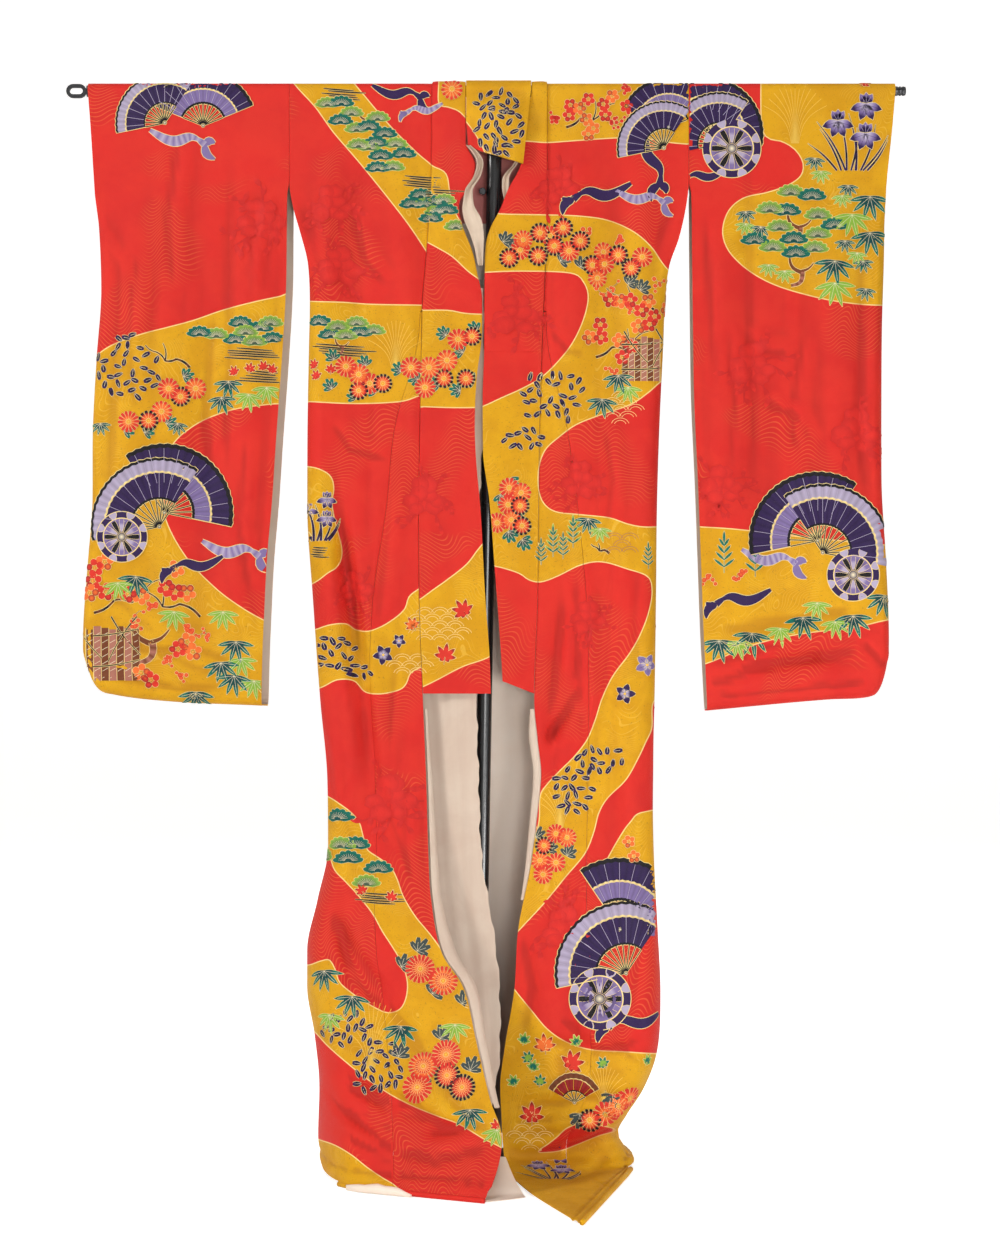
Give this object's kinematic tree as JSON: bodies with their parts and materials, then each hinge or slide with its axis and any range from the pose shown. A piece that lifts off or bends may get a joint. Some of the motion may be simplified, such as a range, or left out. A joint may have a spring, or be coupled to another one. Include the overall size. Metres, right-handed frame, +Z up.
{
  "type": "uchikake wedding kimono on a kimono stand",
  "caption": "Long-sleeved silk wedding over-kimono, padded at the hem, hung by its sleeves on a T-shaped stand with a round base, its front open and its hem resting on the floor.",
  "frame": {"origin": "on the floor, under the rod, on the flat underside of the stand's base", "axes": "+Z up from the base to the rod, +X along the rod to the viewer's right, -Y out of the garment's front"},
  "size_m": [1.3551, 0.7226, 1.7572],
  "materials": {
    "red_silk": "satin",
    "gold_silk": "satin",
    "white_lining": "satin",
    "black_steel": "satin",
    "grey_steel": "satin"
  },
  "bodies": {
    "root": {"front_left": "red_silk", "front_right": "red_silk", "okumi_left": "red_silk", "okumi_right": "red_silk", "back_left": "red_silk", "back_right": "red_silk", "collar_left": "red_silk", "collar_right": "red_silk", "sleeve_left_front": "red_silk", "sleeve_left_back": "red_silk", "sleeve_right_front": "red_silk", "sleeve_right_back": "red_silk", "hem_roll_left": "red_silk", "hem_roll_back": "red_silk", "collar_neck": "gold_silk", "over_collar_left": "gold_silk", "over_collar_right": "gold_silk", "hem_roll_right": "gold_silk", "lining_back_left": "white_lining", "lining_back_right": "white_lining", "lining_fold": "white_lining", "lining_hem": "white_lining", "neck_ribbon_left": "white_lining", "neck_ribbon_right": "white_lining", "facing_left": "white_lining", "facing_right": "white_lining", "stand_base": "black_steel", "stand_pole": "black_steel", "stand_saddle": "black_steel", "stand_rod": "black_steel", "stand_clamp_screw": "grey_steel", "rod_loop": "grey_steel", "rod_knob": "grey_steel"}
  },
  "joints": []
}
